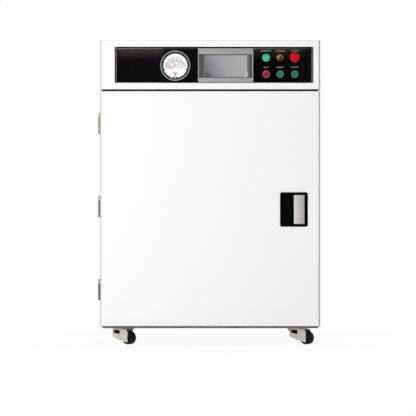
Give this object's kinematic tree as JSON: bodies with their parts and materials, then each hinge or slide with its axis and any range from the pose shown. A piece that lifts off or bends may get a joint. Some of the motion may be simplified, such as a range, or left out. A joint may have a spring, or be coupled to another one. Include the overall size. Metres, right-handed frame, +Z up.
{
  "type": "vacuum oven",
  "caption": "Floor-standing vacuum drying oven on casters, with a recessed pull latch on its door, a round pressure gauge, a touch panel and push buttons.",
  "frame": {"origin": "on the floor under the middle of the cabinet", "axes": "+Z up, +Y towards the back, door facing -Y"},
  "size_m": [0.892, 0.8108, 1.221],
  "materials": {
    "white_enamel": "smooth white powder coat",
    "dark_enamel": "dark grey powder coat",
    "stainless": "brushed stainless steel",
    "zinc_steel": "zinc plated pressed steel",
    "satin_steel": "satin nickel plated",
    "bright_steel": "polished steel",
    "silver_aluminium": "satin anodised",
    "shelf_aluminium": "mill finish",
    "brass": "plain brass",
    "mineral_wool": "fibre blanket",
    "heater_silicone": "silicone heater mat",
    "seal_silicone": "red silicone rubber",
    "black_gloss": "glossy black acrylic",
    "black_plastic": "black moulded plastic",
    "grey_plastic": "light grey moulded plastic",
    "clear_glass": "clear flat glass",
    "screen_glass": "grey display, switched off",
    "dial_white": "white printed dial",
    "pointer_black": "black painted pointer",
    "green_lens": "green translucent plastic",
    "amber_lens": "amber translucent plastic",
    "red_plastic": "red moulded plastic",
    "green_plastic": "green moulded plastic",
    "black_tyre": "black moulded wheel"
  },
  "bodies": {
    "cabinet": {"base_pan": "dark_enamel", "left_side_panel": "white_enamel", "right_side_panel": "white_enamel", "top_panel": "white_enamel", "rear_panel": "white_enamel", "panel_screws": "zinc_steel", "front_frame": "white_enamel", "console_deck": "zinc_steel", "vacuum_chamber": "stainless", "chamber_stand": "zinc_steel", "chamber_insulation": "mineral_wool", "heater_pads": "heater_silicone", "shelf_rails": "stainless", "shelves": "shelf_aluminium", "temperature_probe": "stainless", "vacuum_port": "stainless", "vacuum_pipe": "stainless", "vent_valve": "brass", "cable_gland": "black_plastic", "solid_state_relay": "silver_aluminium", "console_panel": "white_enamel", "console_fascia": "black_gloss", "gauge_case": "black_plastic", "gauge_dial": "dial_white", "gauge_glass": "clear_glass", "gauge_bezel": "silver_aluminium", "touch_panel_case": "grey_plastic", "touch_panel_screen": "screen_glass", "button_bezels": "bright_steel", "green_lamp_lens": "green_lens", "amber_lamp_lens": "amber_lens", "emergency_collar": "black_plastic", "contact_blocks": "black_plastic", "latch_keeper": "stainless", "hinge_frame_leaves": "satin_steel", "hinge_pins": "satin_steel", "caster_plates": "zinc_steel"},
    "door": {"door_skin": "white_enamel", "door_insulation": "mineral_wool", "door_plate": "stainless", "door_seal": "seal_silicone", "latch_dish": "black_plastic", "hinge_door_leaves": "satin_steel"},
    "paddle": {"latch_paddle": "satin_steel"},
    "bolt": {"latch_bolt": "bright_steel"},
    "stop_button": {"stop_button_cap": "red_plastic"},
    "heat_button": {"heat_button_cap": "green_plastic"},
    "pump_button": {"pump_button_cap": "green_plastic"},
    "emergency_push_body": {"emergency_stem": "black_plastic"},
    "emergency_twist_body": {"emergency_head": "red_plastic"},
    "pointer": {"gauge_pointer": "pointer_black"},
    "zero_screw": {"gauge_zero_screw": "bright_steel"},
    "swivel_front_left": {"caster_fork_front_left": "zinc_steel"},
    "wheel_front_left": {"caster_wheel_front_left": "black_tyre"},
    "swivel_front_right": {"caster_fork_front_right": "zinc_steel"},
    "wheel_front_right": {"caster_wheel_front_right": "black_tyre"},
    "swivel_rear_left": {"caster_fork_rear_left": "zinc_steel"},
    "wheel_rear_left": {"caster_wheel_rear_left": "black_tyre"},
    "swivel_rear_right": {"caster_fork_rear_right": "zinc_steel"},
    "wheel_rear_right": {"caster_wheel_rear_right": "black_tyre"}
  },
  "joints": [
    {"name": "door_swing", "type": "hinge", "parent": "cabinet", "child": "door", "pos_m": [-0.446, -0.318, 0.555], "axis": [0, 0, -1], "range_deg": [0, 150]},
    {"name": "paddle_pull", "type": "hinge", "parent": "door", "child": "paddle", "pos_m": [0.372, -0.37, 0.544], "axis": [0, 0, 1], "range_deg": [0, 35], "stiffness_Nm_per_rad": 0.5, "springref_deg": -11.46},
    {"name": "bolt_slide", "type": "slide", "parent": "door", "child": "bolt", "axis": [-1, 0, 0], "range_m": [0, 0.0164]},
    {"name": "stop_button_press", "type": "slide", "parent": "cabinet", "child": "stop_button", "axis": [0, 1, 0], "range_m": [0, 0.003], "stiffness_N_per_m": 400, "springref_m": -0.002},
    {"name": "heat_button_press", "type": "slide", "parent": "cabinet", "child": "heat_button", "axis": [0, 1, 0], "range_m": [0, 0.003], "stiffness_N_per_m": 400, "springref_m": -0.002},
    {"name": "pump_button_press", "type": "slide", "parent": "cabinet", "child": "pump_button", "axis": [0, 1, 0], "range_m": [0, 0.003], "stiffness_N_per_m": 400, "springref_m": -0.002},
    {"name": "emergency_push", "type": "slide", "parent": "cabinet", "child": "emergency_push_body", "axis": [0, 1, 0], "range_m": [0, 0.004], "stiffness_N_per_m": 800, "springref_m": -0.002},
    {"name": "emergency_twist", "type": "hinge", "parent": "emergency_push_body", "child": "emergency_twist_body", "pos_m": [0.338, -0.3888, 1.1514], "axis": [0, 1, 0], "range_deg": [0, 30], "stiffness_Nm_per_rad": 0.05, "springref_deg": -5.73},
    {"name": "gauge_needle", "type": "hinge", "parent": "cabinet", "child": "pointer", "pos_m": [-0.14, -0.3763, 1.084], "axis": [0, 1, 0], "range_deg": [0, 80], "stiffness_Nm_per_rad": 0.002, "springref_deg": -5.73},
    {"name": "gauge_zero_turn", "type": "hinge", "parent": "cabinet", "child": "zero_screw", "pos_m": [-0.14, -0.386, 1.0705], "axis": [0, 1, 0], "range_deg": [-90, 90]},
    {"name": "caster_swivel_front_left", "type": "hinge", "parent": "cabinet", "child": "swivel_front_left", "pos_m": [-0.359, -0.271, 0.062], "axis": [0, 0, 1], "continuous": true},
    {"name": "caster_roll_front_left", "type": "hinge", "parent": "swivel_front_left", "child": "wheel_front_left", "pos_m": [-0.32748, -0.29563, 0.0265], "axis": [0.6157, 0.788, 0], "continuous": true},
    {"name": "caster_swivel_front_right", "type": "hinge", "parent": "cabinet", "child": "swivel_front_right", "pos_m": [0.359, -0.271, 0.062], "axis": [0, 0, 1], "continuous": true},
    {"name": "caster_roll_front_right", "type": "hinge", "parent": "swivel_front_right", "child": "wheel_front_right", "pos_m": [0.39052, -0.29563, 0.0265], "axis": [0.6157, 0.788, 0], "continuous": true},
    {"name": "caster_swivel_rear_left", "type": "hinge", "parent": "cabinet", "child": "swivel_rear_left", "pos_m": [-0.359, 0.325, 0.062], "axis": [0, 0, 1], "continuous": true},
    {"name": "caster_roll_rear_left", "type": "hinge", "parent": "swivel_rear_left", "child": "wheel_rear_left", "pos_m": [-0.38363, 0.35652, 0.0265], "axis": [-0.788, -0.6157, 0], "continuous": true},
    {"name": "caster_swivel_rear_right", "type": "hinge", "parent": "cabinet", "child": "swivel_rear_right", "pos_m": [0.359, 0.325, 0.062], "axis": [0, 0, 1], "continuous": true},
    {"name": "caster_roll_rear_right", "type": "hinge", "parent": "swivel_rear_right", "child": "wheel_rear_right", "pos_m": [0.37002, 0.36345, 0.0265], "axis": [-0.9613, 0.2756, 0], "continuous": true}
  ],
  "couplings": [
    {"joint": "bolt_slide", "follows": "paddle_pull", "m_per_rad": 0.026572}
  ]
}
